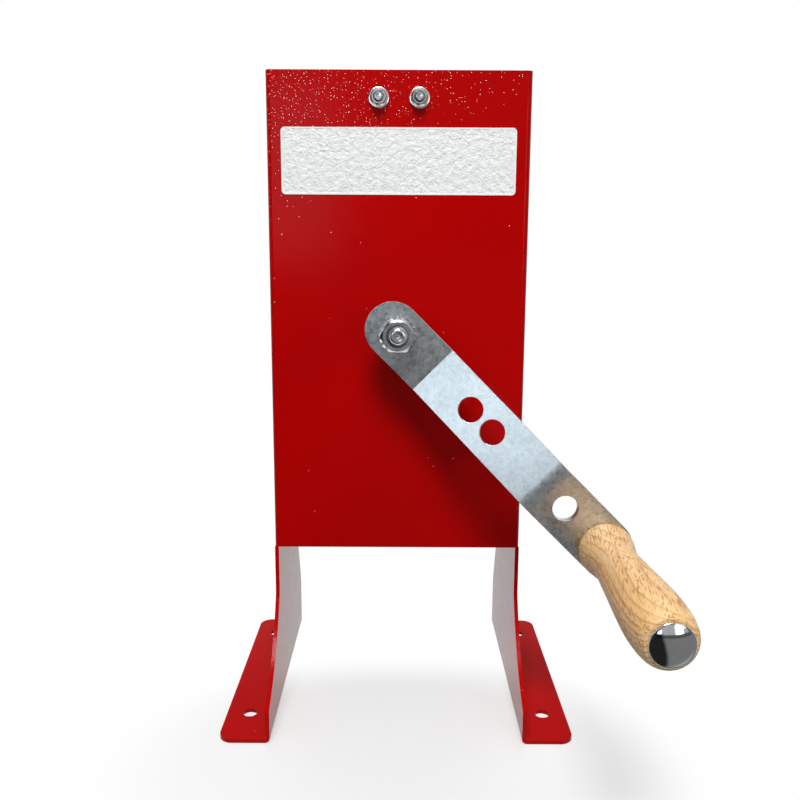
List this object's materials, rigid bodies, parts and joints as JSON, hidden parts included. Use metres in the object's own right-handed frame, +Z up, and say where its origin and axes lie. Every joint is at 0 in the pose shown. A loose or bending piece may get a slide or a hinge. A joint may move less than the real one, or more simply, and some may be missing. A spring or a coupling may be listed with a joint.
{
  "type": "lever nutcracker press",
  "caption": "Open-topped red sheet-steel walnut press on flared legs, with a cranked side lever, wooden grip and hanging jaws spread by a cam shaft.",
  "frame": {"origin": "on the floor plane, at the centre of the four bolt holes in the two feet", "axes": "+X to the right seen from the lever's side, +Y from the lever's side to the rear, +Z up"},
  "size_m": [0.2951, 0.353, 0.48],
  "materials": {
    "red_coat": "glossy red powder coat with a fine orange-peel texture",
    "zinc_steel": "blue zinc plate, slightly mottled",
    "bright_zinc": "bright zinc plate",
    "jaw_steel": "zinc-plated plate steel",
    "bronze": "sintered bronze",
    "label_film": "white adhesive film",
    "beech": "oiled steamed beech",
    "chrome_cap": "polished chrome"
  },
  "bodies": {
    "frame": {"housing": "red_coat", "rear_wall": "red_coat", "rear_wall_screws": "bright_zinc", "rear_weld_nuts": "bright_zinc", "label_plate": "label_film", "left_hinge_rod": "bright_zinc", "right_hinge_rod": "bright_zinc", "front_rod_nuts": "bright_zinc", "rear_rod_nuts": "bright_zinc", "lever_stop": "red_coat", "front_boss": "red_coat", "rear_boss": "red_coat", "front_bush": "bronze", "rear_bush": "bronze"},
    "lever": {"cam_shaft": "bright_zinc", "front_cam": "jaw_steel", "rear_cam": "jaw_steel", "cam_pins": "bright_zinc", "thrust_washer": "bright_zinc", "retaining_ring": "bright_zinc", "lever_spacer": "bright_zinc", "lever_arm": "zinc_steel", "toothed_washer": "bright_zinc", "pivot_nut": "bright_zinc", "handle_spindle": "bright_zinc", "handle_washer": "bright_zinc", "handle_nut": "bright_zinc", "handle_end_cap": "chrome_cap"},
    "grip": {"handle_grip": "beech"},
    "left_jaw": {"left_hinge_tube": "jaw_steel", "left_jaw_plate": "jaw_steel", "left_jaw_ribs": "jaw_steel"},
    "right_jaw": {"right_hinge_tube": "jaw_steel", "right_jaw_plate": "jaw_steel", "right_jaw_ribs": "jaw_steel"}
  },
  "joints": [
    {"name": "lever_turn", "type": "hinge", "parent": "frame", "child": "lever", "pos_m": [0, -0.041, 0.2955], "axis": [0, -1, 0], "range_deg": [0, 90]},
    {"name": "left_jaw_swing", "type": "hinge", "parent": "frame", "child": "left_jaw", "pos_m": [-0.0145, 0, 0.461], "axis": [0, 1, 0], "range_deg": [0, 3]},
    {"name": "right_jaw_swing", "type": "hinge", "parent": "frame", "child": "right_jaw", "pos_m": [0.0145, 0, 0.461], "axis": [0, -1, 0], "range_deg": [0, 3]},
    {"name": "grip_spin", "type": "hinge", "parent": "lever", "child": "grip", "pos_m": [0.1451, -0.178, 0.1504], "axis": [0, -1, 0], "continuous": true}
  ],
  "couplings": [
    {"joint": "left_jaw_swing", "follows": "lever_turn", "ratio": 0.033333},
    {"joint": "right_jaw_swing", "follows": "lever_turn", "ratio": 0.033333}
  ]
}
